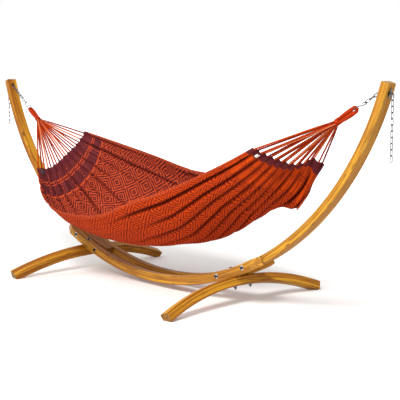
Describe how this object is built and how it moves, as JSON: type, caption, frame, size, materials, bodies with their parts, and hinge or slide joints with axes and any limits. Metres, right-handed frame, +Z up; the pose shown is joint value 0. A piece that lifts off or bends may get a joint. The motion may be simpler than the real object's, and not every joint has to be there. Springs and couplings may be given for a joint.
{
  "type": "hammock on stand",
  "caption": "Freestanding hammock: a woven cloth slung on fanned cords, loops, hooks and chains between the bowed arms of an arched wooden stand on cross feet.",
  "frame": {"origin": "on the ground under the middle of the stand", "axes": "+X along the stand towards the end where the hammock hangs higher, +Y across it, +Z up"},
  "size_m": [3.2328, 1.1334, 1.1736],
  "materials": {
    "wood": "oiled laminated softwood, satin",
    "zinc": "bright zinc plate",
    "cloth": "patterned cotton weave in orange-red and purple-brown",
    "cord": "twisted cotton cord",
    "tab": "plain woven tape"
  },
  "bodies": {
    "stand": {"rail_front": "wood", "rail_rear": "wood", "cross_bolts": "zinc", "cross_bolt_washers": "zinc", "cross_bolt_nuts": "zinc", "foot_bolts": "zinc", "foot_bolt_washers": "zinc", "foot_bolt_nuts": "zinc", "arm_left": "wood", "foot_left": "wood", "anchor_links_left": "zinc", "stop_pin_left": "zinc", "arm_right": "wood", "foot_right": "wood", "anchor_links_right": "zinc", "stop_pin_right": "zinc"},
    "hammock": {"hammock_cloth": "cloth", "hanging_chain_left": "zinc", "s_hook_left": "zinc", "end_loop_left": "cord", "neck_binding_left": "cord", "suspension_cords_left": "cord", "label_tab_left": "tab", "hanging_chain_right": "zinc", "s_hook_right": "zinc", "end_loop_right": "cord", "neck_binding_right": "cord", "suspension_cords_right": "cord", "label_tab_right": "tab"},
    "tail_left": {"tail_link_left": "zinc"},
    "tail_right": {"tail_link_right": "zinc"},
    "spare_left": {"spare_chain_left": "zinc"},
    "spare_right": {"spare_chain_right": "zinc"}
  },
  "joints": [
    {"name": "hammock_swing", "type": "hinge", "parent": "stand", "child": "hammock", "pos_m": [0, 0, 1.13265], "axis": [1, 0, 0], "range_deg": [-20, 20]},
    {"name": "tail_left_swing", "type": "hinge", "parent": "stand", "child": "tail_left", "pos_m": [-1.60842, 0, 1.11402], "axis": [0, 1, 0], "range_deg": [-8, 60]},
    {"name": "tail_right_swing", "type": "hinge", "parent": "stand", "child": "tail_right", "pos_m": [1.60842, 0, 1.11402], "axis": [0, -1, 0], "range_deg": [-8, 60]},
    {"name": "spare_left_sway", "type": "hinge", "parent": "tail_left", "child": "spare_left", "pos_m": [-1.60842, 0, 1.08632], "axis": [1, 0, 0], "range_deg": [-40, 40]},
    {"name": "spare_right_sway", "type": "hinge", "parent": "tail_right", "child": "spare_right", "pos_m": [1.60842, 0, 1.08632], "axis": [1, 0, 0], "range_deg": [-40, 40]}
  ]
}
